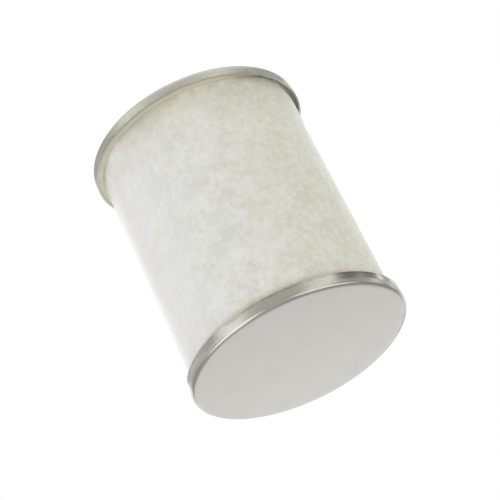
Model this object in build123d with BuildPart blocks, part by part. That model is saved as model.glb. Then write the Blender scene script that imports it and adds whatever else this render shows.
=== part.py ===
from build123d import *
from math import asin, atan2, degrees, radians, sin
import os

# Air line filter element: a cartridge that stands on its closed end, with its air inlet upwards.
# Millimetres. The origin is the centre of the closed end's outer face, and +Z runs to the open end.
# Compressed air enters through the neck, goes outwards through the pleats and leaves by the felt.

# Driving dimensions of the two end caps
cap_diameter = 50.0
element_height = 60.6
sheet_thickness = 0.4
rim_height = 2.6
cap_bend_radius = 1.0
neck_bore_diameter = 22.0
neck_depth = 7.0
neck_bend_radius = 1.0

# Driving dimensions of the felt sleeve and of the two support tubes
felt_diameter = 46.8
felt_thickness = 2.6
felt_seam_width = 0.8
felt_seam_depth = 0.6
support_thickness = 0.5
support_plain_end = 4.0
support_seam_gap = 0.2
core_clearance = 0.1
core_columns = 8
core_hole_width = 6.6
cage_columns = 7
cage_rows = 6
cage_diamond_width = 14.6
cage_diamond_height = 12.4

# Pleated medium
pleat_count = 24
medium_thickness = 0.7
medium_clearance = 0.05
crest_fold_radius = 0.9
root_fold_radius = 0.6

# Resin, as its floor's depth and its heights inside each rim: at the rim and at the felt
resin_floor = 0.4
resin_fillet = 1.2
closed_end_resin = (1.7, 2.1)
open_end_resin = (2.1, 2.4)

# Gasket
gasket_inner_diameter = 24.4
gasket_outer_diameter = 34.4
gasket_thickness = 2.0

# Radii, from the air space outwards
cap_radius = cap_diameter / 2
rim_inner_radius = cap_radius - sheet_thickness
rim_inside_bend = cap_bend_radius - sheet_thickness
neck_inner_radius = neck_bore_diameter / 2
neck_outer_radius = neck_inner_radius + sheet_thickness
neck_foot_radius = neck_inner_radius + neck_bend_radius
core_inner_radius = neck_outer_radius + core_clearance
core_outer_radius = core_inner_radius + support_thickness
felt_radius = felt_diameter / 2
cage_outer_radius = felt_radius - felt_thickness
cage_inner_radius = cage_outer_radius - support_thickness

# The layers stand on the resin floor of each cap
seat_height = sheet_thickness + resin_floor
wall_length = element_height - 2 * seat_height
mid_height = element_height / 2

# Section planes through the axis: each end's heights are measured inwards from its own outer face
closed_end = Plane.XZ
open_end = Plane(origin=(0, 0, element_height), x_dir=(1, 0, 0), z_dir=(0, 1, 0))
seat_plane = Plane.XY.offset(seat_height)

os.makedirs("parts", exist_ok=True)


# Closed end cap: a shallow cup drawn from tinplate, with a plain outer face
with BuildPart() as closed_end_cap:
    with BuildSketch(closed_end):
        with BuildLine():
            FilletPolyline(
                (cap_radius, rim_height), (cap_radius, 0), (0, 0), radius=cap_bend_radius
            )
            offset(amount=sheet_thickness, side=Side.RIGHT)
        make_face()
    revolve(axis=Axis.Z)
closed_end_cap.part.label = "closed_end_cap"
export_step(closed_end_cap.part, "parts/closed_end_cap.step")


# Open end cap: the same cup, with its centre drawn inwards to a neck for the air inlet
with BuildPart() as open_end_cap:
    with BuildSketch(open_end):
        with BuildLine():
            FilletPolyline(
                (cap_radius, rim_height),
                (cap_radius, 0),
                (neck_inner_radius, 0),
                (neck_inner_radius, neck_depth),
                radius=(cap_bend_radius, neck_bend_radius),
            )
            offset(amount=sheet_thickness, side=Side.RIGHT)
        make_face()
    revolve(axis=Axis.Z)
open_end_cap.part.label = "open_end_cap"
export_step(open_end_cap.part, "parts/open_end_cap.step")


# Potting: resin poured into each cap bonds the layers. It rises between the felt and the rim, and
# at the closed end it also shows inside the core, with a fillet round the foot of the core. Its
# corners are cut flat across the insides of the cap's bends.
def resin_section(level, foot_radius, edge_radius):
    at_rim, at_felt = level
    return Polyline(
        (foot_radius, sheet_thickness),
        (rim_inner_radius - rim_inside_bend, sheet_thickness),
        (rim_inner_radius, cap_bend_radius),
        (rim_inner_radius, at_rim),
        (felt_radius, at_felt),
        (felt_radius, seat_height),
        (edge_radius, seat_height),
        close=True,
    )


with BuildPart() as closed_end_potting:
    with BuildSketch(closed_end):
        with BuildLine():
            resin_section(closed_end_resin, 0, 0)
        make_face()
        with BuildLine():
            RadiusArc(
                (core_inner_radius, seat_height + resin_fillet),
                (core_inner_radius - resin_fillet, seat_height),
                -resin_fillet,
            )
            Polyline(
                (core_inner_radius - resin_fillet, seat_height),
                (core_inner_radius, seat_height),
                (core_inner_radius, seat_height + resin_fillet),
            )
        make_face()
    revolve(axis=Axis.Z)
closed_end_potting.part.label = "closed_end_potting"
export_step(closed_end_potting.part, "parts/closed_end_potting.step")

with BuildPart() as open_end_potting:
    with BuildSketch(open_end):
        with BuildLine():
            resin_section(open_end_resin, neck_foot_radius, core_inner_radius)
        make_face()
    revolve(axis=Axis.Z)
open_end_potting.part.label = "open_end_potting"
export_step(open_end_potting.part, "parts/open_end_potting.step")


# Both support tubes are rolled from sheet, and their butt seam faces the back. The openings stand
# in staggered rows that stop short of the seam, so every other row has one opening fewer.
def rolled_sheet(outer_radius):
    with BuildSketch(seat_plane) as sheet:
        Circle(outer_radius)
        Circle(outer_radius - support_thickness, mode=Mode.SUBTRACT)
        with Locations((0, outer_radius - support_thickness / 2)):
            Rectangle(support_seam_gap, 2 * support_thickness, mode=Mode.SUBTRACT)
    return sheet.sketch


def staggered_places(columns, rows, row_pitch):
    places = []
    for row in range(rows):
        height = mid_height + (row - (rows - 1) / 2) * row_pitch
        openings = columns - 1 + row % 2
        first = 90 + (1 - row % 2 / 2) * 360 / columns
        for opening in range(openings):
            places.append(Location((0, 0, height), (0, 0, first + opening * 360 / columns)))
    return places


# Inner support tube: hexagon-perforated sheet
core_row_pitch = radians(360 / core_columns) * core_outer_radius * sin(radians(60))
core_rows = int((wall_length - 2 * support_plain_end) / core_row_pitch)

with BuildPart() as core_opening:
    with BuildSketch(Plane.YZ):
        RegularPolygon(core_hole_width / 2, 6, major_radius=False, rotation=30)
    extrude(amount=cap_radius)

with BuildPart() as inner_support_tube:
    add(rolled_sheet(core_outer_radius))
    extrude(amount=wall_length)
    with Locations(*staggered_places(core_columns, core_rows, core_row_pitch)):
        add(core_opening.part, mode=Mode.SUBTRACT)
inner_support_tube.part.label = "inner_support_tube"
export_step(inner_support_tube.part, "parts/inner_support_tube.step")


# Outer support tube: expanded metal, whose diamonds leave narrow strands between them
cage_row_pitch = (wall_length - 2 * support_plain_end - cage_diamond_height) / (cage_rows - 1)

with BuildPart() as cage_opening:
    with BuildSketch(Plane.YZ):
        with BuildLine():
            Polyline(
                (cage_diamond_width / 2, 0),
                (0, cage_diamond_height / 2),
                (-cage_diamond_width / 2, 0),
                (0, -cage_diamond_height / 2),
                close=True,
            )
        make_face()
    extrude(amount=cap_radius)

with BuildPart() as outer_support_tube:
    add(rolled_sheet(cage_outer_radius))
    extrude(amount=wall_length)
    with Locations(*staggered_places(cage_columns, cage_rows, cage_row_pitch)):
        add(cage_opening.part, mode=Mode.SUBTRACT)
outer_support_tube.part.label = "outer_support_tube"
export_step(outer_support_tube.part, "parts/outer_support_tube.step")


# Filter medium: glass fibre sheet in pleats, with round folds that reach from the core to the cage
half_medium = medium_thickness / 2
crest_circle = cage_inner_radius - medium_clearance - half_medium - crest_fold_radius
root_circle = core_outer_radius + medium_clearance + half_medium + root_fold_radius


# One pleat of one face of the sheet. Its straight leg touches the round crest and the round root,
# and its other half is the mirror image.
def pleat_line(crest_radius, root_radius):
    half_pitch = 180 / pleat_count
    crest = Vector(crest_circle, 0)
    root = Vector(root_circle, 0).rotate(Axis.Z, half_pitch)
    reach = root - crest
    lean = atan2(reach.Y, -reach.X) - asin((crest_radius + root_radius) / reach.length)
    across = Vector(0, 1).rotate(Axis.Z, -degrees(lean))
    leg = Line(crest + across * crest_radius, root - across * root_radius)
    crest_tip = Vector(crest_circle + crest_radius, 0)
    root_tip = Vector(root_circle - root_radius, 0).rotate(Axis.Z, half_pitch)
    with BuildLine() as line:
        RadiusArc(crest_tip, leg @ 0, -crest_radius)
        add(leg)
        RadiusArc(leg @ 1, root_tip, root_radius)
        mirror(about=Plane.XZ)
    return line.line


with BuildPart() as filter_medium:
    with BuildSketch(seat_plane):
        with BuildLine():
            with PolarLocations(0, pleat_count):
                add(pleat_line(crest_fold_radius + half_medium, root_fold_radius - half_medium))
        make_face()
        with BuildLine():
            with PolarLocations(0, pleat_count):
                add(pleat_line(crest_fold_radius - half_medium, root_fold_radius + half_medium))
        make_face(mode=Mode.SUBTRACT)
    extrude(amount=wall_length)
filter_medium.part.label = "filter_medium"
export_step(filter_medium.part, "parts/filter_medium.step")


# Drain sleeve: thick needled felt, closed by a butt seam at the back
with BuildPart() as drain_sleeve:
    with BuildSketch(seat_plane):
        Circle(felt_radius)
        Circle(cage_outer_radius, mode=Mode.SUBTRACT)
        with BuildLine():
            Polyline(
                (felt_seam_width / 2, felt_radius),
                (0, felt_radius - felt_seam_depth),
                (-felt_seam_width / 2, felt_radius),
                close=True,
            )
        make_face(mode=Mode.SUBTRACT)
    extrude(amount=wall_length)
drain_sleeve.part.label = "drain_sleeve"
export_step(drain_sleeve.part, "parts/drain_sleeve.step")


# Face gasket: a flat ring cut from rubber sheet and bonded round the inlet
with BuildPart() as face_gasket:
    with BuildSketch(Plane.XY.offset(element_height)):
        Circle(gasket_outer_diameter / 2)
        Circle(gasket_inner_diameter / 2, mode=Mode.SUBTRACT)
    extrude(amount=gasket_thickness)
face_gasket.part.label = "face_gasket"
export_step(face_gasket.part, "parts/face_gasket.step")
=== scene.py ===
import bpy
from math import cos, pi, radians, sin
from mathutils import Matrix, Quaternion, Vector


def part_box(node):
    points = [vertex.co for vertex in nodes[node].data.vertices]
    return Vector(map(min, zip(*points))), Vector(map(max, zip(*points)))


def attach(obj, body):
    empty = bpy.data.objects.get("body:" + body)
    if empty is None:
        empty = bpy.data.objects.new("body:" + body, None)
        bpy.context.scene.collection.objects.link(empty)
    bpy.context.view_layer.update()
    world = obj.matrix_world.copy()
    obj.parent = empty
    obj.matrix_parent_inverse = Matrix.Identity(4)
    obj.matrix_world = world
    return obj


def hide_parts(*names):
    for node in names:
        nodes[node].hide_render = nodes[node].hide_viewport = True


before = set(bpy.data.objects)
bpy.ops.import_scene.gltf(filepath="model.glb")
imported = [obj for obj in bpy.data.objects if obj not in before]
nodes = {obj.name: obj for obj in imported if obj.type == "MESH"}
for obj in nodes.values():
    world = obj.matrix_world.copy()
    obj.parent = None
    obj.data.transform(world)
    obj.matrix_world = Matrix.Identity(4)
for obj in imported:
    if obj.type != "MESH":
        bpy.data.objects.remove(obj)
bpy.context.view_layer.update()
bpy.ops.object.select_all(action="DESELECT")
scene = bpy.context.scene
scene.view_settings.view_transform = "Standard"


# Camera. It looks up at the closed end from below and leans over to one side, through a long lens.
# The distances and angles come from where the two rims lie in the photograph.
aim_height = 0.02825
camera_distance = 0.4148
camera_elevation = radians(-29.67)
camera_roll = radians(26.18)
lens_length = 135.7
sensor_width = 36
clip_distances = (camera_distance / 10, camera_distance * 100)

camera = bpy.data.objects.new("camera", bpy.data.cameras.new("camera"))
scene.collection.objects.link(camera)
camera.data.lens = lens_length
camera.data.sensor_width = sensor_width
camera.data.clip_start, camera.data.clip_end = clip_distances
line_of_sight = Vector((0, cos(camera_elevation), -sin(camera_elevation)))
camera.location = Vector((0, 0, aim_height)) - line_of_sight * camera_distance
camera.rotation_mode = "QUATERNION"
level_view = line_of_sight.to_track_quat("-Z", "Y")
camera.rotation_quaternion = level_view @ Quaternion((0, 0, 1), -camera_roll)
scene.camera = camera


# Room light. A white room fills the shadows with soft light that is a little warm and green, and
# the picture, polished metal and anything clear see the room's walls as plain white.
def add_node(tree, kind, inputs=None, **settings):
    made = tree.nodes.new(kind)
    for name, value in settings.items():
        setattr(made, name, value)
    for socket, value in (inputs or {}).items():
        if isinstance(value, bpy.types.NodeSocket):
            tree.links.new(value, made.inputs[socket])
        else:
            made.inputs[socket].default_value = value
    return made


room_light = (0.998, 1.0, 0.913, 1)
room_wall = (1, 1, 1, 1)

room = bpy.data.worlds.new("room")
scene.world = room
room.use_nodes = True
tree = room.node_tree
path = add_node(tree, "ShaderNodeLightPath")
seen = add_node(
    tree, "ShaderNodeMath", {0: path.outputs["Is Camera Ray"], 1: path.outputs["Is Glossy Ray"]},
    operation="ADD",
)
seen = add_node(
    tree, "ShaderNodeMath", {0: seen.outputs[0], 1: path.outputs["Is Transmission Ray"]},
    operation="ADD", use_clamp=True,
)
choice = add_node(
    tree, "ShaderNodeMixRGB", {"Fac": seen.outputs[0], "Color1": room_light, "Color2": room_wall}
)
tree.links.new(choice.outputs[0], tree.nodes["Background"].inputs["Color"])


# Lamps. A large soft one stands on the left of the camera, a little above the element, cooler than
# the room: it gives the felt its brighter left side and the floor its shadow. Two smaller ones stand
# behind the element, left and right, and catch the fuzz along the felt's edges.
lamp_distance = 1.2
lamps = {
    "window_lamp": ((-0.637, -0.430, 0.64), 0.7, 4.7, (0.66, 0.63, 1.0)),
    "left_edge_lamp": ((-0.41, 0.91, 0.1), 0.4, 3.9, (0.9, 0.87, 1.0)),
    "right_edge_lamp": ((0.38, 0.925, 0.1), 0.4, 3.5, (0.85, 0.83, 1.0)),
}
for name, (direction, size, power, tone) in lamps.items():
    lamp = bpy.data.objects.new(name, bpy.data.lights.new(name, "AREA"))
    scene.collection.objects.link(lamp)
    lamp.data.size = size
    lamp.data.energy = power
    lamp.data.color = tone
    lamp.location = Vector(direction) * lamp_distance
    lamp.rotation_euler = Vector(direction).to_track_quat("Z", "Y").to_euler()
    lamp.visible_camera = False
    lamp.visible_glossy = False


# Light tent. A round tent of paler and greyer strips hangs about the element, for the metal alone
# to mirror. The low strips show in the disc of the closed end, the level strips in the bend round
# it, the middle strips in the near rim, the high strips in the far rim, the top strips in its bend.
tent_radius = 0.7
tent_height = 0.03
tent_segments = 64
tent_rings = 32
half_turn = 0.5
disc_fade = (-0.37, -0.3)
disc_levels = (0.86, 1.0)

# Each strip is an azimuth from the camera's side towards +X, how bright it is there, and how blue
low_strips = (
    (-180, 1.1, 0.98), (-158, 1.12, 0.98), (-150, 0.74, 1), (-142, 0.44, 1), (-135, 0.46, 1),
    (-126, 0.48, 1), (-116, 0.48, 1), (-106, 0.53, 1), (-96, 0.68, 1), (-83, 0.74, 1),
    (-70, 0.72, 1), (-62, 1.06, 0.98), (-49, 1.35, 0.98), (-36, 1.2, 0.98), (-25, 0.7, 0.95),
    (-12, 0.62, 0.9), (0, 0.61, 0.9), (25, 0.6, 0.9), (35, 1.05, 0.94), (49, 1.15, 0.96),
    (58, 1.03, 0.96), (66, 0.57, 0.95), (76, 0.44, 0.94), (98, 0.6, 0.95), (106, 0.95, 0.97),
    (110, 1.03, 0.97), (114, 0.62, 0.97), (120, 0.42, 0.96), (129, 0.44, 0.96), (138, 0.43, 0.96),
    (146, 0.47, 0.97), (152, 0.82, 0.98), (160, 1.06, 0.98), (180, 1.1, 0.98),
)
level_strips = (
    (-180, 0.72, 1), (-162, 0.76, 1), (-155, 1.22, 1), (-149, 1.1, 1), (-144, 1.3, 1),
    (-139, 1.33, 1), (-135, 1.42, 1), (-131, 0.64, 1), (-126, 0.62, 1), (-106, 0.63, 1),
    (-96, 0.68, 1), (-83, 0.74, 1), (-70, 0.72, 1), (-62, 1.06, 0.98), (-49, 1.35, 0.98),
    (-36, 1.2, 0.98), (-25, 0.7, 0.95), (-12, 0.62, 0.9), (0, 0.61, 0.9), (25, 0.6, 0.9),
    (35, 1.05, 0.94), (49, 1.15, 0.96), (58, 1.03, 0.96), (66, 0.57, 0.95), (76, 0.44, 0.94),
    (98, 0.6, 0.95), (106, 1.1, 0.97), (110, 1.15, 0.97), (113, 0.55, 0.97), (120, 0.42, 0.96),
    (125, 1.05, 0.97), (129, 1.15, 0.97), (133, 0.66, 0.96), (139, 0.6, 0.96), (145, 1.0, 0.97),
    (152, 1.05, 0.98), (160, 0.76, 1), (180, 0.72, 1),
)
middle_strips = (
    (-180, 1.7, 1), (-172, 1.8, 1), (-163, 1.8, 1), (-155, 1.9, 1), (-150, 0.9, 1),
    (-145, 0.58, 0.99), (-133, 0.72, 0.98), (-118, 0.8, 0.98), (-94, 0.7, 0.98),
    (-80, 0.58, 0.97), (-75, 0.52, 0.97), (-70, 0.78, 0.98), (-64, 1.18, 0.98),
    (-48, 1.26, 0.98), (-36, 1.17, 0.97), (-25, 0.67, 0.91), (-12, 0.61, 0.88), (0, 0.61, 0.88),
    (25, 0.6, 0.88), (36, 0.9, 0.92), (48, 1.07, 0.95), (61, 1.24, 0.95), (67, 0.62, 0.93),
    (71, 0.22, 0.9), (84, 0.215, 0.9), (88, 0.27, 0.9), (92.5, 0.57, 0.93), (97, 0.42, 0.92),
    (101, 0.25, 0.91), (111, 0.25, 0.91), (117.5, 0.31, 0.94), (121.5, 2.4, 1), (125.5, 0.6, 0.97),
    (129, 0.5, 0.96), (137, 0.42, 0.97), (141, 0.8, 1), (145, 1.2, 1), (149, 1.05, 1),
    (153, 0.78, 1), (158, 0.92, 1), (168, 1.3, 1), (180, 1.35, 1),
)
high_strips = (
    (-180, 0.86, 1), (-170, 0.8, 1), (-160, 0.74, 1), (-152, 0.53, 0.99), (-144, 0.53, 0.99),
    (-136, 0.63, 0.99), (-128, 0.6, 0.99), (-120, 0.69, 0.98), (-96, 0.63, 0.98), (-84, 0.66, 0.98),
    (-72, 0.74, 0.98), (-62, 1.04, 0.98), (-46, 1.08, 0.97), (-36, 0.98, 0.97), (-24, 0.86, 0.97),
    (-12, 0.74, 0.96), (0, 0.745, 0.96), (14, 0.75, 0.96), (24, 0.79, 0.97), (36, 0.9, 0.97),
    (48, 1.0, 0.98), (61, 0.9, 0.98), (72, 0.71, 0.98), (84, 0.61, 0.98), (104, 0.58, 0.98),
    (120, 0.64, 0.99), (136, 0.56, 0.99), (144, 0.72, 1), (152, 1.12, 1), (166, 1.12, 1),
    (180, 0.86, 1),
)
top_strips = (
    (-180, 0.6, 1), (-166, 0.42, 1), (-159, 0.38, 1), (-151, 0.34, 1), (-143, 0.34, 1),
    (-135, 0.38, 1), (-123, 0.52, 0.98), (-111, 0.66, 0.98), (-98, 0.74, 0.98), (-85, 0.9, 0.98),
    (-72, 1.12, 0.98), (-58, 1.17, 0.97), (-44, 1.08, 0.97), (-15, 1.0, 0.98), (0, 0.98, 0.98),
    (15, 1.04, 0.98), (44, 1.08, 0.98), (58, 1.16, 0.98), (72, 1.15, 0.98), (85, 1.05, 0.98),
    (98, 1.0, 0.98), (111, 0.8, 0.98), (123, 0.58, 0.98), (135, 0.4, 0.98), (151, 0.38, 0.98),
    (159, 0.6, 1), (166, 1.0, 1), (180, 1.1, 1),
)
# Each band of strips takes over from the one below it between two heights
bands_from = (
    ((-0.16, -0.1), level_strips),
    ((0.23, 0.28), middle_strips),
    ((0.345, 0.385), high_strips),
    ((0.42, 0.44), top_strips),
)


def ranged(tree, value, low, high, to_low=0.0, to_high=1.0, kind="LINEAR"):
    return add_node(
        tree, "ShaderNodeMapRange",
        {"Value": value, "From Min": low, "From Max": high, "To Min": to_low, "To Max": to_high},
        interpolation_type=kind,
    ).outputs[0]


def combined(tree, operation, first, second=0.0):
    return add_node(
        tree, "ShaderNodeMath", {0: first, 1: second}, operation=operation
    ).outputs[0]


def mixed(tree, share, first, second, kind="MIX"):
    return add_node(
        tree, "ShaderNodeMixRGB", {"Fac": share, "Color1": first, "Color2": second},
        blend_type=kind,
    ).outputs[0]


def axis_of(tree, place, axis):
    return add_node(tree, "ShaderNodeSeparateXYZ", {0: place}).outputs[axis]


# One half of the way round, as a colour ramp. A ramp begins with two stops and can hold 32, which
# is too few for the whole way round.
def half_round(tree, turn, strips, turn_from):
    share = ranged(tree, turn, turn_from, turn_from + half_turn)
    ramp = add_node(tree, "ShaderNodeValToRGB", {"Fac": share})
    stops = ramp.color_ramp.elements
    for place, (azimuth, level, blue) in enumerate(strips):
        position = (azimuth / 360 + half_turn - turn_from) / half_turn
        stop = stops[place] if place < 2 else stops.new(position)
        stop.position = position
        stop.color = (level, level, level * blue, 1)
    return ramp.outputs["Color"]


def strip_colours(tree, turn, strips):
    return mixed(
        tree, combined(tree, "GREATER_THAN", turn, half_turn),
        half_round(tree, turn, [strip for strip in strips if strip[0] <= 0], 0.0),
        half_round(tree, turn, [strip for strip in strips if strip[0] >= 0], half_turn),
    )


tent_cloth = bpy.data.materials.new("tent_cloth")
tent_cloth.use_nodes = True
tent_cloth.cycles.emission_sampling = "NONE"
tree = tent_cloth.node_tree
tree.nodes.clear()
place = add_node(tree, "ShaderNodeTexCoord").outputs["Object"]
turned_place = add_node(
    tree, "ShaderNodeMapping", {"Vector": place, "Rotation": (0, 0, pi / 2)}
).outputs[0]
turn = add_node(
    tree, "ShaderNodeTexGradient", {"Vector": turned_place}, gradient_type="RADIAL"
).outputs["Fac"]
height = axis_of(tree, place, "Z")
wall = strip_colours(tree, turn, low_strips)
for limits, strips in bands_from:
    share = ranged(tree, height, *limits, kind="SMOOTHSTEP")
    wall = mixed(tree, share, wall, strip_colours(tree, turn, strips))
strength = ranged(tree, height, *disc_fade, *disc_levels, kind="SMOOTHSTEP")
glow = add_node(tree, "ShaderNodeEmission", {"Color": wall, "Strength": strength})
add_node(tree, "ShaderNodeOutputMaterial", {"Surface": glow.outputs[0]})

bpy.ops.mesh.primitive_uv_sphere_add(
    segments=tent_segments, ring_count=tent_rings, radius=tent_radius,
    location=(0, 0, tent_height),
)
tent = bpy.context.object
tent.name = "light_tent"
tent.data.materials.append(tent_cloth)


# Cards. A dark card lies below the element with two grey ones and two pale ones on it: the metal's
# bend mirrors them as a bright line with a dark line beside it. Each card is its two corners, how
# bright, and how blue.
card_drop = 0.3
card_gap = 0.001
cards = {
    "dark_card": ((-0.48, -0.2), (0.48, 0.47), 0.4, 0.96),
    "grey_card": ((-0.3, 0.0), (0.0, 0.47), 0.53, 0.96),
    "middle_card": ((-0.09, -0.26), (0.09, 0.0), 0.6, 0.96),
    "left_card": ((-0.39, -0.26), (-0.075, 0.062), 1.55, 0.98),
    "right_card": ((0.07, -0.26), (0.32, 0.085), 1.22, 0.96),
}
screens = [tent]
for name, (low, high, level, blue) in cards.items():
    card_paper = bpy.data.materials.new(name)
    card_paper.use_nodes = True
    card_paper.cycles.emission_sampling = "NONE"
    tree = card_paper.node_tree
    tree.nodes.clear()
    glow = add_node(tree, "ShaderNodeEmission", {"Color": (level, level, level * blue, 1)})
    add_node(tree, "ShaderNodeOutputMaterial", {"Surface": glow.outputs[0]})
    rise = card_gap * len(screens)
    bpy.ops.mesh.primitive_plane_add(
        size=1, location=((low[0] + high[0]) / 2, (low[1] + high[1]) / 2, rise - card_drop)
    )
    card = bpy.context.object
    card.name = name
    card.scale = (high[0] - low[0], high[1] - low[1], 1)
    card.data.materials.append(card_paper)
    screens.append(card)

for screen in screens:
    screen.visible_camera = False
    screen.visible_diffuse = False
    screen.visible_transmission = False
    screen.visible_volume_scatter = False
    screen.visible_shadow = False


# Floor. A plain pale table top just under the closed end, matt, with no part in lighting the
# element. From below it is clear, so that the photograph's view from underneath stays open.
floor_size = 1.8
floor_drop = 0.0002
floor_colour = (0.86, 0.86, 0.85, 1)

table_top = bpy.data.materials.new("table_top")
table_top.use_nodes = True
tree = table_top.node_tree
tree.nodes.clear()
matt = add_node(tree, "ShaderNodeBsdfDiffuse", {"Color": floor_colour})
clear = add_node(tree, "ShaderNodeBsdfTransparent")
from_below = add_node(tree, "ShaderNodeNewGeometry").outputs["Backfacing"]
choice = add_node(
    tree, "ShaderNodeMixShader", {"Fac": from_below, 1: matt.outputs[0], 2: clear.outputs[0]}
)
add_node(tree, "ShaderNodeOutputMaterial", {"Surface": choice.outputs[0]})

bpy.ops.mesh.primitive_plane_add(size=floor_size, location=(0, 0, -floor_drop))
floor = bpy.context.object
floor.name = "floor"
floor.data.materials.append(table_top)
floor.visible_diffuse = False
floor.visible_glossy = False
floor.visible_transmission = False
floor.visible_shadow = False


# Both end caps are pressed from tinplate. The disc is even satin grey, and dishes a little towards
# its bend. The drawn rim has fine lines, specks and rings. Its lip is dull and darkened by painted
# shade, which widens at two spots of the closed end, and carries a thin yellow film, wiped on with
# the resin. Its cut edge carries a painted highlight on one side and painted shade past it.
cap_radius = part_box("closed_end_cap")[1].x
rim_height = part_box("closed_end_cap")[1].z
element_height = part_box("open_end_cap")[1].z
mid_height = element_height / 2
lip_from_middle = mid_height - rim_height

tin_colour = (0.572, 0.565, 0.544, 1)
tin_dull = (0.533, 0.526, 0.503, 1)
tin_speck = (0.43, 0.428, 0.392, 1)
tin_roughness = 0.16
roughness_span = (tin_roughness - 0.01, tin_roughness + 0.02)
pit_roughness = 0.15
bloom_size = 0.007
grease_size = 0.002
draw_line_size = 0.0003
draw_line_stretch = (1, 1, 0.12)
ring_size = 0.00025
ring_stretch = (0.04, 0.04, 1)
speck_size = 0.00045
noise_span = (0.3, 0.7)
bloom_span = (0.35, 0.7, 0.0, 0.35)
rubbed_span = (0.85, 1.2, 0.0, 0.8)
pit_span = (0.54, 0.68, 0.0, 0.75)
rim_fade = (cap_radius - 0.0007, cap_radius - 0.0001)

film_tint = (0.985, 0.985, 0.87, 1)
film_width = 0.0026
film_shares = (0.45, 1.0)

# The lip band is partly a dull worn lip and partly painted shade: full all round the closed end, full
# on the left of the open end and weaker elsewhere. The two spots widen the painted shade at two
# places of the closed end.
dull_shaded_lip_colour = (0.42, 0.41, 0.365, 1)
lip_width = 0.00045
lip_waver = 0.00035
lip_side = (-0.014, -0.009)
lip_shares = (1.0, 0.65)
lip_shade_spots = ((-0.0084, 0.0030, 0.0005), (0.0177, 0.0042, 0.0004))

# The cut edge's own colour, with a painted highlight across one stretch of the right side and painted
# shade beyond it.
cut_colour = (0.59, 0.58, 0.52, 1)
cut_highlight = (0.81, 0.80, 0.73, 1)
cut_shade = (0.33, 0.33, 0.29, 1)
cut_highlight_side = (0.0195, 0.0212)
cut_shade_side = (0.0232, 0.0246)
cut_fade = (lip_from_middle + 0.00005, lip_from_middle + 0.00001)

dish_radius = 0.0231
dish_steepness = 75
dish_left = (-0.012, -0.002, 0.45, 1.0)
dish_right = (0.004, 0.014, 1.0, 1.35)
wave_size = 0.0011
wave_stretch = (0.02, 0.02, 1)
wave_height = 0.000006
rim_relief = 0.00001


def new_finish(name, constants):
    finish = bpy.data.materials.new(name)
    finish.use_nodes = True
    surface = finish.node_tree.nodes["Principled BSDF"]
    for socket, value in constants.items():
        surface.inputs[socket].default_value = value
    place = add_node(finish.node_tree, "ShaderNodeTexCoord").outputs["Object"]
    return finish, surface, place


def noise(tree, place, size, stretch=(1, 1, 1), **inputs):
    scaled = add_node(tree, "ShaderNodeMapping", {"Vector": place, "Scale": stretch}).outputs[0]
    inputs = {socket.title(): value for socket, value in inputs.items()}
    return add_node(
        tree, "ShaderNodeTexNoise", {"Vector": scaled, "Scale": 1 / size, **inputs}
    ).outputs["Fac"]


def product(tree, first, *others):
    for other in others:
        first = combined(tree, "MULTIPLY", first, other)
    return first


def total(tree, first, *others):
    for other in others:
        first = combined(tree, "ADD", first, other)
    return first


def tinted(tree, share, colour, tint):
    return mixed(tree, share, colour, tint, "MULTIPLY")


def radius_of(tree, place):
    flat = add_node(tree, "ShaderNodeMapping", {"Vector": place, "Scale": (1, 1, 0)}).outputs[0]
    return add_node(tree, "ShaderNodeVectorMath", {0: flat}, operation="LENGTH").outputs["Value"]


def from_middle_of(tree, place):
    above = combined(tree, "SUBTRACT", axis_of(tree, place, "Z"), mid_height)
    return combined(tree, "ABSOLUTE", above)


def add_relief(tree, surface, height, depth=1.0):
    bump = add_node(tree, "ShaderNodeBump", {"Height": height, "Strength": 1.0, "Distance": depth})
    tree.links.new(bump.outputs[0], surface.inputs["Normal"])


def give_finish(node, finish):
    for slot in nodes[node].material_slots:
        slot.material = finish


tinplate, surface, place = new_finish("tinplate", {"Metallic": 1.0})
tree = tinplate.node_tree
sideways = axis_of(tree, place, "X")
height = axis_of(tree, place, "Z")
from_middle = from_middle_of(tree, place)
radius = radius_of(tree, place)
on_rim = ranged(tree, radius, *rim_fade)

bloom = noise(tree, place, bloom_size, detail=3.0, roughness=0.6)
grease = noise(tree, place, grease_size, detail=3.0, roughness=0.6)
draw_lines = noise(tree, place, draw_line_size, stretch=draw_line_stretch, detail=3.0, roughness=0.7)
rings = noise(tree, place, ring_size, stretch=ring_stretch, detail=2.0)
specks = noise(tree, place, speck_size, detail=2.0, roughness=0.7)
colour = mixed(tree, ranged(tree, bloom, *bloom_span), tin_colour, tin_dull)
rubbed = ranged(tree, total(tree, draw_lines, rings), *rubbed_span)
colour = mixed(tree, product(tree, rubbed, on_rim), colour, tin_dull)
pits = product(tree, ranged(tree, specks, *pit_span), on_rim)
colour = mixed(tree, pits, colour, tin_speck)

film = product(
    tree, ranged(tree, from_middle, lip_from_middle + film_width, lip_from_middle), on_rim,
    ranged(tree, height, 0.0, element_height, *film_shares),
)
colour = tinted(tree, film, colour, film_tint)

# The lip band: a dull lip with painted shade along it, widened by painted shade at two spots of the
# closed end.
lower_end = combined(tree, "LESS_THAN", height, mid_height)
waver = ranged(tree, grease, *noise_span, -lip_waver, lip_waver)
for spot_place, spot_reach, spot_depth in lip_shade_spots:
    aside = combined(tree, "ABSOLUTE", combined(tree, "SUBTRACT", sideways, spot_place))
    lip_shade_spot = ranged(tree, aside, spot_reach, spot_reach / 2, 0.0, spot_depth)
    waver = combined(tree, "SUBTRACT", waver, product(tree, lip_shade_spot, lower_end))
lip = ranged(
    tree, total(tree, from_middle, waver),
    lip_from_middle + lip_width, lip_from_middle + lip_width / 3,
)
lip_share = combined(tree, "MAXIMUM", ranged(tree, sideways, *lip_side, *lip_shares), lower_end)
colour = mixed(tree, product(tree, lip, lip_share, on_rim), colour, dull_shaded_lip_colour)

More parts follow.
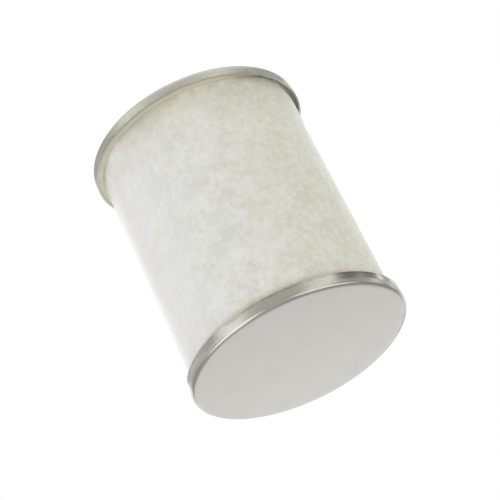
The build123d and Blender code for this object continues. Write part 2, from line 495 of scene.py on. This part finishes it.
# Painted highlight, then painted shade, on the cut edge towards the right.
cut = mixed(tree, ranged(tree, sideways, *cut_highlight_side), cut_colour, cut_highlight)
cut = mixed(tree, ranged(tree, sideways, *cut_shade_side), cut, cut_shade)
colour = mixed(tree, ranged(tree, from_middle, *cut_fade), colour, cut)
tree.links.new(colour, surface.inputs["Base Color"])

gloss = ranged(tree, bloom, *noise_span, *roughness_span)
gloss = total(tree, gloss, product(tree, pits, pit_roughness))
tree.links.new(gloss, surface.inputs["Roughness"])

past_dish = combined(tree, "MAXIMUM", combined(tree, "SUBTRACT", radius, dish_radius), 0.0)
dish = product(
    tree, combined(tree, "POWER", past_dish, 2.0), -dish_steepness / 2,
    ranged(tree, sideways, *dish_left), ranged(tree, sideways, *dish_right),
)
waves = noise(tree, place, wave_size, stretch=wave_stretch, detail=0.0)
waves = product(tree, waves, wave_height)
fine = product(tree, total(tree, draw_lines, rings, specks), on_rim, rim_relief)
add_relief(tree, surface, total(tree, dish, waves, fine))

give_finish("closed_end_cap", tinplate)
give_finish("open_end_cap", tinplate)


# Potting. A pale cream resin bonds all the layers into each cap and shows as a collar between the
# rim and the felt. The open end's resin is flush with the lip but for one side, where it ran low,
# and it crept a little way up the felt.
resin_segments = 192
rim_inner_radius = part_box("closed_end_potting")[1].x
cap_sheet = cap_radius - rim_inner_radius
cap_bend = 0.001
felt_low, felt_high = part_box("drain_sleeve")
felt_radius = felt_high.x
seat_height = felt_low.z
core_sheet = 0.0005
core_inner_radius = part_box("inner_support_tube")[1].x - core_sheet
neck_foot_radius = 0.012
nearly_zero = 1e-9
weld_gap = 1e-6
collar_margin = 0.00001
collar_overlap = 0.0003
collar_steps = 8
collar_sag = 0.00012
collar_ripple = 0.0002
ripple_size = 0.003
ripple_depth = 2
resin_smooth_angle = radians(50)


def pick(piece, kind, test):
    bpy.ops.object.mode_set(mode="EDIT")
    bpy.ops.mesh.select_mode(type={"vertices": "VERT", "edges": "EDGE"}[kind])
    bpy.ops.mesh.select_all(action="DESELECT")
    bpy.ops.object.mode_set(mode="OBJECT")
    for item in getattr(piece.data, kind):
        item.select = test(item)
    bpy.ops.object.mode_set(mode="EDIT")


def turned(name, profile, filled):
    first_radius, first_height = profile[0]
    bpy.ops.object.select_all(action="DESELECT")
    bpy.ops.mesh.primitive_circle_add(
        vertices=resin_segments, radius=first_radius, location=(0, 0, first_height),
        fill_type="TRIFAN" if filled else "NOTHING",
    )
    piece = bpy.context.object
    piece.name = name
    bpy.ops.object.transform_apply(location=True, rotation=True, scale=True)
    bpy.ops.object.mode_set(mode="EDIT")
    bpy.ops.mesh.select_mode(type="EDGE")
    bpy.ops.mesh.select_all(action="SELECT")
    if filled:
        bpy.ops.mesh.region_to_loop()
    for (radius, height), (next_radius, next_height) in zip(profile, profile[1:]):
        growth = next_radius / radius
        bpy.ops.mesh.extrude_edges_move(
            TRANSFORM_OT_translate={"value": (0, 0, next_height - height)}
        )
        bpy.ops.transform.resize(value=(growth, growth, 1), center_override=(0, 0, next_height))
    bpy.ops.mesh.select_all(action="SELECT")
    bpy.ops.mesh.remove_doubles(threshold=weld_gap)
    bpy.ops.mesh.normals_make_consistent(inside=False)
    bpy.ops.object.mode_set(mode="OBJECT")
    return piece


def collar(rim_level, felt_level):
    rings = []
    for step in range(collar_steps + 1):
        across = step / collar_steps
        radius = rim_inner_radius + (felt_radius - rim_inner_radius) * across
        level = rim_level + (felt_level - rim_level) * across
        sag = collar_sag * sin(pi * across)
        rings.append((radius, level + (sag if level > mid_height else -sag)))
    return rings + [(felt_radius - collar_overlap, felt_level)]


def on_collar(vertex):
    inside = abs(vertex.co.z - mid_height) < mid_height - cap_bend - collar_margin
    return inside and vertex.co.xy.length > felt_radius - 2 * collar_overlap


closed_levels = (0.0017, 0.0022)
fillet = 0.0012
fillet_steps = 6
foot = [(core_inner_radius / 2, seat_height)]
for step in range(fillet_steps + 1):
    angle = step / fillet_steps * pi / 2
    foot.append(
        (core_inner_radius - fillet * (1 - sin(angle)), seat_height + fillet * (1 - cos(angle)))
    )
foot.append((core_inner_radius, seat_height))
closed_resin = turned(
    "closed_end_resin",
    foot
    + [(felt_radius - collar_overlap, seat_height)]
    + collar(*closed_levels)[::-1]
    + [(rim_inner_radius, cap_bend), (rim_inner_radius - cap_bend + cap_sheet, cap_sheet)]
    + [(nearly_zero, cap_sheet)],
    filled=True,
)

open_levels = (element_height - 0.0025, element_height - 0.00285)
open_flat = element_height - cap_sheet
open_seat = element_height - seat_height
open_resin = turned(
    "open_end_resin",
    [(neck_foot_radius, open_flat), (rim_inner_radius - cap_bend + cap_sheet, open_flat)]
    + [(rim_inner_radius, element_height - cap_bend)]
    + collar(*open_levels)
    + [(felt_radius - collar_overlap, open_seat), (core_inner_radius, open_seat)]
    + [(neck_foot_radius, open_flat)],
    filled=False,
)

# The side where it ran low: past the second hinge line the collar slopes away from the lip, and
# past the first it is level again. The sloping side is then widened to meet the rim.
low_side_hinges = (0.0195, 0.0100)
low_side_slopes = (radians(-8.0), radians(8.0))
for hinge, slope in zip(low_side_hinges, low_side_slopes):
    hinge_point = (hinge, 0, open_levels[0])
    pick(open_resin, "vertices", lambda v: v.co.x > hinge and on_collar(v))
    bpy.ops.transform.rotate(value=slope, orient_axis="Y", center_override=hinge_point)
    bpy.ops.object.mode_set(mode="OBJECT")
pick(open_resin, "vertices", lambda v: v.co.x > hinge and on_collar(v))
bpy.ops.transform.resize(value=(1 / cos(slope), 1, 1), center_override=hinge_point)
bpy.ops.object.mode_set(mode="OBJECT")

resin_cream = (0.69, 0.668, 0.565, 1)
resin_grey = (0.585, 0.547, 0.495, 1)
# Painted shade on the resin of the right side, where the open end's resin runs low and the gap is
# deep.
resin_shade_colour = (0.46, 0.435, 0.37, 1)
# The resin is darker in a thin wavy ring where it meets the felt.
resin_felt_edge_dark = (0.50, 0.455, 0.36, 1)
resin_roughness = (0.36, 0.52)
resin_relief = 0.00008
grit_share = 0.3
flow_size = 0.003
grit_size = 0.0006
cream_side = (-0.019, -0.023)
resin_shade_side = (0.010, 0.021)
side_waver = 0.002
felt_edge_dark_width = 0.0003
felt_edge_dark_waver = 0.0001
felt_edge_dark_share = 0.6

cream_resin, surface, place = new_finish("cream_resin", {"Specular IOR Level": 0.45})
tree = cream_resin.node_tree
flow = noise(tree, place, flow_size, detail=3.0, distortion=0.6)
grit = noise(tree, place, grit_size, detail=2.0)
stray = ranged(tree, flow, *noise_span, -side_waver, side_waver)
sideways = total(tree, axis_of(tree, place, "X"), stray)
colour = mixed(tree, ranged(tree, sideways, *cream_side), resin_grey, resin_cream)
# Painted shade on the right side's resin.
colour = mixed(tree, ranged(tree, sideways, *resin_shade_side), colour, resin_shade_colour)
# A thin wavy darker ring in the resin where it meets the felt.
waver = ranged(tree, flow, *noise_span, -felt_edge_dark_waver, felt_edge_dark_waver)
radius = total(tree, radius_of(tree, place), waver)
felt_edge_dark = ranged(tree, radius, felt_radius + felt_edge_dark_width, felt_radius + felt_edge_dark_waver)
colour = mixed(tree, product(tree, felt_edge_dark, felt_edge_dark_share), colour, resin_felt_edge_dark)
tree.links.new(colour, surface.inputs["Base Color"])
gloss = ranged(tree, grit, *noise_span, *resin_roughness)
tree.links.new(gloss, surface.inputs["Roughness"])
add_relief(tree, surface, total(tree, flow, product(tree, grit, grit_share)), resin_relief)


def press_clouds(piece, name, size, depth, height, direction="NORMAL"):
    clouds = bpy.data.textures.new(name, "CLOUDS")
    clouds.noise_scale = size
    clouds.noise_depth = depth
    modifier = piece.modifiers.new(name, "DISPLACE")
    modifier.texture = clouds
    modifier.texture_coords = "LOCAL"
    modifier.direction = direction
    modifier.strength = height
    modifier.mid_level = 0.5
    modifier.vertex_group = piece.vertex_groups[0].name
    bpy.ops.object.modifier_apply(modifier=name)


for piece, node in ((closed_resin, "closed_end_potting"), (open_resin, "open_end_potting")):
    bpy.ops.object.select_all(action="DESELECT")
    piece.select_set(True)
    bpy.context.view_layer.objects.active = piece
    pick(piece, "vertices", on_collar)
    bpy.ops.object.vertex_group_assign_new()
    bpy.ops.object.mode_set(mode="OBJECT")
    press_clouds(piece, "ripple", ripple_size, ripple_depth, collar_ripple, "Z")
    bpy.ops.object.shade_smooth_by_angle(angle=resin_smooth_angle)
    piece.data.materials.append(cream_resin)
    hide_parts(node)
    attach(piece, "root")


# Both support tubes are rolled from plain galvanised sheet: a dull blue-grey coat with a fine
# crystal bloom.
zinc_colour = (0.50, 0.51, 0.51, 1)
zinc_dull = (0.38, 0.39, 0.39, 1)
zinc_roughness = (0.30, 0.48)
zinc_relief = 0.00001
spangle_size = 0.0018
spangle_shares = (0.6, 1.2)
zinc_bloom_size = 0.0012
zinc_span = (0.2, 0.8)

galvanised, surface, place = new_finish("galvanised_sheet", {"Metallic": 1.0})
tree = galvanised.node_tree
spangle = add_node(
    tree, "ShaderNodeTexVoronoi", {"Vector": place, "Scale": 1 / spangle_size}
).outputs["Color"]
bloom = noise(tree, place, zinc_bloom_size, detail=3.0)
share = product(tree, bloom, ranged(tree, spangle, 0.0, 1.0, *spangle_shares))
tree.links.new(mixed(tree, share, zinc_colour, zinc_dull), surface.inputs["Base Color"])
gloss = ranged(tree, share, *zinc_span, *zinc_roughness)
tree.links.new(gloss, surface.inputs["Roughness"])
add_relief(tree, surface, bloom, zinc_relief)

give_finish("inner_support_tube", galvanised)
give_finish("outer_support_tube", galvanised)


# Filter medium. Thick white paper of fine glass fibres, folded in pleats between the two tubes. It
# is matt, and faintly cloudy where the fibres lie closer.
paper_white = (0.80, 0.79, 0.755, 1)
paper_shade = (0.71, 0.70, 0.655, 1)
paper_relief = 0.00005
cloud_size = 0.003
glass_fibre_size = 0.00025
glass_fibre_stretch = (1, 1, 0.3)
paper_span = (0.8, 1.2)

fibre_paper, surface, place = new_finish("glass_fibre_paper", {"Roughness": 0.9})
tree = fibre_paper.node_tree
cloud = noise(tree, place, cloud_size, detail=4.0, roughness=0.65)
fibres = noise(tree, place, glass_fibre_size, stretch=glass_fibre_stretch, detail=3.0, distortion=1.5)
share = ranged(tree, total(tree, cloud, fibres), *paper_span)
tree.links.new(mixed(tree, share, paper_white, paper_shade), surface.inputs["Base Color"])
add_relief(tree, surface, fibres, paper_relief)

give_finish("filter_medium", fibre_paper)


# Felt sleeve. Thick needled polyester felt, off white, rolled round the outer tube and closed by a
# butt seam at the back. It swells in two places at its open end, and its face is cloudy where
# fibres bunch, flecked with stray grey fibres, and stained where the caps were potted. Painted shade
# darkens it on its sides, under the open cap and above the closed cap's lip, and painted light
# brightens two patches just under the open cap's lip.
felt_inner_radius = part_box("outer_support_tube")[1].x
felt_length = felt_high.z - felt_low.z
felt_columns = 320
felt_row_cuts = (15, 7)
seam_depth = 0.0006
small_gap = 1e-4
swelling_growth = 1.013
swelling_back = 0.0075
swellings = (
    ((0.0222, 0.0240), (0.0535, 0.0562), 0.0040),
    ((0.0190, 0.0212), (0.0565, 0.0590), 0.0035),
)
cloud_depth = 3
clump_size = 0.0016
clump_height = 0.00014
hill_size = 0.007
hill_height = 0.00010
felt_smooth_angle = radians(60)


def heights_of(edge):
    return [sleeve.data.vertices[v].co.z for v in edge.vertices]


def radii_of(edge):
    return [sleeve.data.vertices[v].co.xy.length for v in edge.vertices]


bpy.ops.object.select_all(action="DESELECT")
bpy.ops.mesh.primitive_cylinder_add(
    vertices=felt_columns, radius=felt_radius, depth=felt_length, end_fill_type="NOTHING",
    location=(0, 0, mid_height),
)
sleeve = bpy.context.object
sleeve.name = "felt_sleeve"
bpy.ops.object.transform_apply(location=True, rotation=True, scale=True)
for cuts in felt_row_cuts:
    pick(sleeve, "edges", lambda edge: max(heights_of(edge)) - min(heights_of(edge)) > small_gap)
    bpy.ops.mesh.subdivide(number_cuts=cuts)
pick(sleeve, "vertices", lambda v: True)
bpy.ops.object.vertex_group_assign_new()
pick(sleeve, "vertices", lambda v: v.co.y > 0 and abs(v.co.x) < small_gap)
bpy.ops.transform.translate(value=(0, -seam_depth, 0))

# The two swellings. Each is a patch of felt between two places across and two heights, which grows
# outwards and draws the felt around it along.
for (left, right), (bottom, top), fade in swellings:
    pick(
        sleeve, "vertices",
        lambda v: v.co.y < swelling_back and left < v.co.x < right and bottom < v.co.z < top,
    )
    bpy.ops.transform.resize(
        value=(swelling_growth, swelling_growth, 1), center_override=(0, 0, mid_height),
        use_proportional_edit=True, proportional_edit_falloff="SMOOTH", proportional_size=fade,
    )

# The flat ends and the inner wall, which has no seam groove
inward = felt_inner_radius / felt_radius
for end_height in (felt_low.z, felt_high.z):
    pick(
        sleeve, "edges",
        lambda edge: all(abs(height - end_height) < small_gap for height in heights_of(edge)),
    )
    bpy.ops.mesh.extrude_edges_move()
    bpy.ops.object.vertex_group_remove_from()
    bpy.ops.transform.resize(value=(inward, inward, 1), center_override=(0, 0, end_height))
pick(sleeve, "vertices", lambda v: v.co.y > 0 and v.co.xy.length < felt_inner_radius - small_gap)
bpy.ops.transform.translate(value=(0, seam_depth * inward, 0))
pick(sleeve, "edges", lambda edge: max(radii_of(edge)) < (felt_inner_radius + felt_radius) / 2)
bpy.ops.mesh.bridge_edge_loops()
bpy.ops.mesh.select_all(action="SELECT")
bpy.ops.mesh.normals_make_consistent(inside=False)
bpy.ops.object.mode_set(mode="OBJECT")
press_clouds(sleeve, "clumps", clump_size, cloud_depth, clump_height)
press_clouds(sleeve, "hills", hill_size, cloud_depth, hill_height)
bpy.ops.object.shade_smooth_by_angle(angle=felt_smooth_angle)

# Its fibres, white and grey ones in bunches and wider patches, more bunched on the right, and
# calmer on the front's left, where the face is pressed
felt_white = (0.695, 0.695, 0.680, 1)
felt_grey = (0.602, 0.602, 0.581, 1)
felt_warm = (1.0, 0.998, 0.95, 1)
fleck_grey = (0.38, 0.38, 0.355, 1)
felt_relief = 0.00011
bunch_size = 0.0014
patch_size = 0.0055
fibre_size = 0.0003
stray_size = 0.00055
warm_patch_size = 0.0032
pressed_side = (-0.004, -0.0185)
pressed_front = (0.006, -0.002)
bunched_side = (0.008, 0.016)
bunch_shares = (1.05, 1.5)
patch_shares = (1.2, 0.8)
fibre_share = 0.12
fibre_relief_share = 0.45
bunch_span = (0.32, 0.68)
cloud_span = (0.5, 1.8)
pressed_shares = (1.0, 0.45)
middling_grey = 0.46
stray_span = (0.58, 0.7)
stray_patches = (0.42, 0.6, 0.12, 0.4)
pressed_strays = (0.8, 0.2)
warm_span = (0.45, 0.65)
warm_left = (-0.018, 0.006, 0.2, 1.0)
warm_right = (0.0205, 0.0222, 1.0, 0.1)

felt, surface, place = new_finish(
    "needled_felt",
    {"Roughness": 0.95, "Sheen Weight": 1.0, "Sheen Roughness": 0.34, "Specular IOR Level": 0.0},
)
tree = felt.node_tree
sideways = axis_of(tree, place, "X")
backways = axis_of(tree, place, "Y")
clumps = noise(tree, place, bunch_size, detail=3.0, roughness=0.62, distortion=0.2)
patches = noise(tree, place, patch_size, detail=4.0, roughness=0.6)
fibres = noise(tree, place, fibre_size, detail=4.0, roughness=0.7, distortion=1.2)
strays = noise(tree, place, stray_size, detail=2.0, roughness=0.5, distortion=0.4)
warmth = noise(tree, place, warm_patch_size, detail=2.0, roughness=0.5)
pressed = product(
    tree, ranged(tree, sideways, *pressed_side), ranged(tree, backways, *pressed_front)
)
liveliness = ranged(tree, pressed, 0.0, 1.0, *pressed_shares)
cloud = total(
    tree,
    product(
        tree, ranged(tree, clumps, *bunch_span),
        ranged(tree, sideways, *bunched_side, *bunch_shares),
    ),
    product(
        tree, ranged(tree, patches, *noise_span),
        ranged(tree, sideways, *bunched_side, *patch_shares),
    ),
    ranged(tree, fibres, *noise_span, -fibre_share, fibre_share),
)
share = combined(tree, "SUBTRACT", ranged(tree, cloud, *cloud_span), middling_grey)
share = total(tree, product(tree, share, liveliness), middling_grey)
colour = mixed(tree, share, felt_white, felt_grey)
flecks = product(
    tree, ranged(tree, strays, *stray_span), ranged(tree, patches, *stray_patches),
    ranged(tree, pressed, 0.0, 1.0, *pressed_strays),
)
colour = mixed(tree, flecks, colour, fleck_grey)
warmth = product(
    tree, ranged(tree, warmth, *warm_span),
    ranged(tree, sideways, *warm_left), ranged(tree, sideways, *warm_right),
)
colour = tinted(tree, warmth, colour, felt_warm)
relief = total(tree, clumps, product(tree, fibres, fibre_relief_share))
add_relief(tree, surface, product(tree, relief, liveliness), felt_relief)

# Its stains, and the painted shade and painted light among them. Each depth pair says how far
# inwards of a lip a mark begins and is full, and each side pair says the same across. Where two more
# values follow, they are its shares at those two places.
# Grime and painted shade under the open cap's rim, darker towards the lip.
grime_and_shade_tint = (0.90, 0.892, 0.845, 1)
grime_and_shade_depths = (0.012, 0.0005)
halo_tint = (1.0, 0.99, 0.93, 1)
halo_depths = (0.0045, 0.0005)
spared_depths = (0.005, 0.002, 0.0, 0.9)
spared_left = (-0.0205, -0.0195)
spared_right = (-0.0155, -0.0105, 1.0, 0.25)
# Painted shade: the felt's right side, its left side (a little cool) and its far right edge are
# darkened by these tints.
shade_tint = (0.965, 0.965, 0.955, 1)
shade_side = (0.010, 0.020)
cool_shade_tint = (0.972, 0.969, 0.982, 1)
cool_shade_side = (-0.0165, -0.0205)
edge_shade_tint = (0.972, 0.970, 0.995, 1)
edge_shade_side = (0.0212, 0.0228)
# Painted light: two patches just under the open cap's lip are brightened past the felt's own colour.
lit_patch_tint = (1.18, 1.18, 1.15, 1)
lit_patch_depths = (0.0016, 0.0004)
lit_patch_sides = ((-0.0200, -0.0150), (-0.0010, 0.0145))
lit_patch_fade = 0.0015
soak_depths = (0.0053, 0.0033)
soak_end = (0.0006, 0.0022, 0.15, 1.0)
soak_sides = (
    (-0.0260, -0.0190, (1.0, 0.985, 0.93, 1)),
    (-0.0176, 0.0020, (0.955, 0.937, 0.893, 1)),
)
soak_fade = 0.0025
# Painted shadow on the felt just under the open cap's lip, on its right side and strongest at its
# right edge.
contact_shadow_tint = (0.82, 0.82, 0.825, 1)
contact_shadow_depths = (0.0040, 0.0018)
contact_shadow_end = (-0.0003, 0.0004)
contact_shadow_side = (0.0160, 0.0190, 0.0, 0.7)
contact_shadow_edge = (0.0222, 0.0231, 0.0, 0.3)
# Painted shadow on the felt just above the closed cap's lip, strongest towards the left side.
lip_shadow_tint = (0.72, 0.72, 0.71, 1)
lip_shadow_depths = (0.0019, 0.0010)
lip_shadow_left = (-0.0205, -0.0185, 0.6, 1.0)
lip_shadow_right = (-0.0140, -0.0120, 1.0, 0.65)
seep_tint = (0.60, 0.58, 0.50, 1)
seep_depths = (0.0075, 0.0052)
seep_side = (-0.0214, -0.0231)
stain_tint = (0.64, 0.58, 0.47, 1)
stain_depths = (0.0016, -0.0006)
stain_shares = (0.04, 1.0)
pool_side = (-0.0205, -0.0225)
pool_reach = 0.002
creep_size = 0.0022
creep_stretch = (1, 1, 0.5)
creep_waver = 0.0014


def near_lip(tree, from_middle, begins, full, low=0.0, high=1.0):
    return ranged(tree, from_middle, lip_from_middle - begins, lip_from_middle - full, low, high)


def between(tree, value, start, end, fade):
    rising = ranged(tree, value, start, start + fade)
    return product(tree, rising, ranged(tree, value, end, end - fade))


from_middle = from_middle_of(tree, place)
creep = noise(tree, place, creep_size, stretch=creep_stretch, detail=3.0, roughness=0.65)
reach = total(tree, from_middle, ranged(tree, creep, *noise_span, -creep_waver, creep_waver))
upper_end = combined(tree, "GREATER_THAN", axis_of(tree, place, "Z"), mid_height)
lower_end = combined(tree, "SUBTRACT", 1.0, upper_end)

spared = product(
    tree, near_lip(tree, from_middle, *spared_depths), upper_end,
    ranged(tree, sideways, *spared_left), ranged(tree, sideways, *spared_right),
)
unspared = combined(tree, "SUBTRACT", 1.0, spared)
halo = product(tree, near_lip(tree, reach, *halo_depths), unspared)
colour = tinted(tree, halo, colour, halo_tint)
# Grime and painted shade, darker towards the open cap's lip, except where spared.
grime_and_shade = product(tree, near_lip(tree, reach, *grime_and_shade_depths), unspared, upper_end)
colour = tinted(tree, grime_and_shade, colour, grime_and_shade_tint)

# Painted shade on the felt's right side, left side and far right edge.
colour = tinted(tree, ranged(tree, sideways, *shade_side), colour, shade_tint)
colour = tinted(tree, ranged(tree, sideways, *cool_shade_side), colour, cool_shade_tint)
colour = tinted(tree, ranged(tree, sideways, *edge_shade_side), colour, edge_shade_tint)

# Painted light on two patches just under the open cap's lip.
lit_patch = product(tree, near_lip(tree, reach, *lit_patch_depths), upper_end)
for start, end in lit_patch_sides:
    window = between(tree, sideways, start, end, lit_patch_fade)
    colour = tinted(tree, product(tree, lit_patch, window), colour, lit_patch_tint)

soak = product(
    tree, near_lip(tree, reach, *soak_depths), near_lip(tree, from_middle, *soak_end), upper_end
)
for start, end, tint in soak_sides:
    window = between(tree, sideways, start, end, soak_fade)
    colour = tinted(tree, product(tree, soak, window), colour, tint)

# Painted shadow under the open cap's lip on the right.
contact_shadow = product(
    tree, near_lip(tree, from_middle, *contact_shadow_depths), near_lip(tree, from_middle, *contact_shadow_end),
    total(tree, ranged(tree, sideways, *contact_shadow_side), ranged(tree, sideways, *contact_shadow_edge)),
    upper_end,
)
colour = tinted(tree, contact_shadow, colour, contact_shadow_tint)

# Painted shadow on the felt just above the closed cap's lip.
line = product(
    tree, near_lip(tree, from_middle, *lip_shadow_depths), lower_end,
    ranged(tree, sideways, *lip_shadow_left), ranged(tree, sideways, *lip_shadow_right),
)
colour = tinted(tree, line, colour, lip_shadow_tint)

seep = product(
    tree, near_lip(tree, reach, *seep_depths), ranged(tree, sideways, *seep_side), upper_end
)
colour = tinted(tree, seep, colour, seep_tint)

pooled = ranged(tree, sideways, *pool_side)
pooled_reach = total(tree, reach, product(tree, pooled, pool_reach))
stain = product(
    tree, near_lip(tree, pooled_reach, *stain_depths), upper_end,
    ranged(tree, pooled, 0.0, 1.0, *stain_shares),
)
colour = tinted(tree, stain, colour, stain_tint)
tree.links.new(colour, surface.inputs["Base Color"])

sleeve.data.materials.append(felt)
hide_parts("drain_sleeve")
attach(sleeve, "root")


# Gasket. A flat ring of matt black rubber, cut from sheet and bonded on the open cap. Its faces
# keep the fine grain of the sheet, greyed a little by talc.
rubber_black = (0.022, 0.022, 0.023, 1)
rubber_grey = (0.06, 0.06, 0.062, 1)
rubber_relief = 0.00002
talc_size = 0.0035
rubber_grain_size = 0.00018
talc_span = (0.42, 0.72)

rubber, surface, place = new_finish(
    "black_rubber", {"Roughness": 0.62, "Specular IOR Level": 0.4}
)
tree = rubber.node_tree
talc = noise(tree, place, talc_size, detail=4.0, roughness=0.7)
grain = noise(tree, place, rubber_grain_size, detail=2.0)
colour = mixed(tree, ranged(tree, talc, *talc_span), rubber_black, rubber_grey)
tree.links.new(colour, surface.inputs["Base Color"])
add_relief(tree, surface, grain, rubber_relief)

give_finish("face_gasket", rubber)
